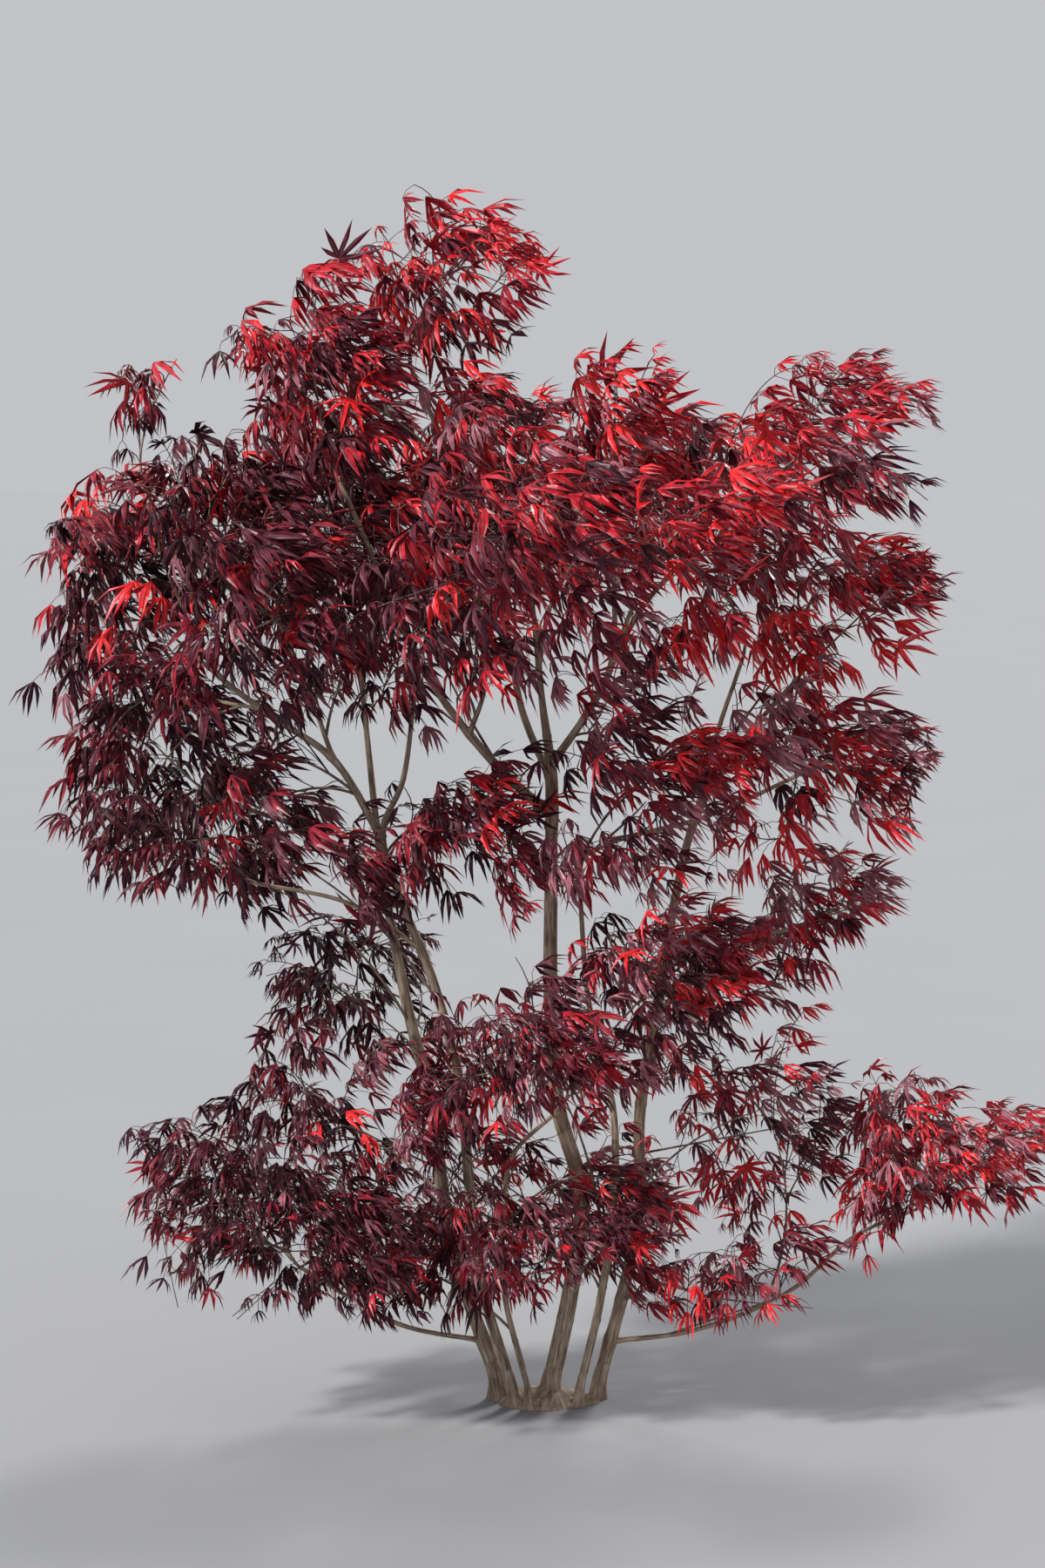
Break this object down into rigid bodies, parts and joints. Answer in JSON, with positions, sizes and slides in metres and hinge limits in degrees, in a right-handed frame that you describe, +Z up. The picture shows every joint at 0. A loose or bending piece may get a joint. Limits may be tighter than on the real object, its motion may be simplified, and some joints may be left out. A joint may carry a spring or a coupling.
{
  "type": "japanese maple tree",
  "caption": "Multi-stemmed Japanese maple with slim forking stems rising from a flared foot, tapering boughs and airy masses of narrow drooping purple-red leaves.",
  "frame": {"origin": "middle of the flat cut under the flared foot, at ground level", "axes": "+Z up, -Y the side that faces the viewer in the picture, +X to the viewer's right"},
  "size_m": [1.6493, 1.205, 1.952],
  "materials": {
    "bark": "matt, finely streaked",
    "leaves": "satin"
  },
  "bodies": {
    "root": {"bough_back_centre": "bark", "bough_back_right": "bark", "bough_centre_left": "bark", "bough_front_centre": "bark", "bough_leader": "bark", "bough_left_arm": "bark", "bough_left_high": "bark", "bough_left_long": "bark", "bough_left_low": "bark", "bough_left_lower": "bark", "bough_left_rise": "bark", "bough_left_shoot": "bark", "bough_long_right": "bark", "bough_low_far_right": "bark", "bough_low_left": "bark", "bough_low_right": "bark", "bough_lower_right": "bark", "bough_right_high": "bark", "bough_right_high_outer": "bark", "bough_right_inner": "bark", "leaves_back_centre": "leaves", "leaves_back_left": "leaves", "leaves_back_low_right": "leaves", "leaves_back_right": "leaves", "leaves_centre_left": "leaves", "leaves_centre_lower": "leaves", "leaves_centre_middle": "leaves", "leaves_centre_upper": "leaves", "leaves_far_left": "leaves", "leaves_far_low_right": "leaves", "leaves_front_centre": "leaves", "leaves_front_low": "leaves", "leaves_inner_right": "leaves", "leaves_left_lobe": "leaves", "leaves_left_low": "leaves", "leaves_left_lower": "leaves", "leaves_left_middle": "leaves", "leaves_left_upper": "leaves", "leaves_low_centre": "leaves", "leaves_low_left": "leaves", "leaves_low_left_upper": "leaves", "leaves_low_right": "leaves", "leaves_right_centre": "leaves", "leaves_right_inner_low": "leaves", "leaves_right_low": "leaves", "leaves_right_low_middle": "leaves", "leaves_right_lower": "leaves", "leaves_right_middle": "leaves", "leaves_right_outer": "leaves", "leaves_right_upper": "leaves", "leaves_top": "leaves", "leaves_top_shoot_left": "leaves", "leaves_upper_left": "leaves", "root_flare": "bark", "stem_centre": "bark", "stem_front": "bark", "stem_left_inner": "bark", "stem_left_outer": "bark", "stem_right": "bark", "stem_right_slim": "bark"}
  },
  "joints": []
}
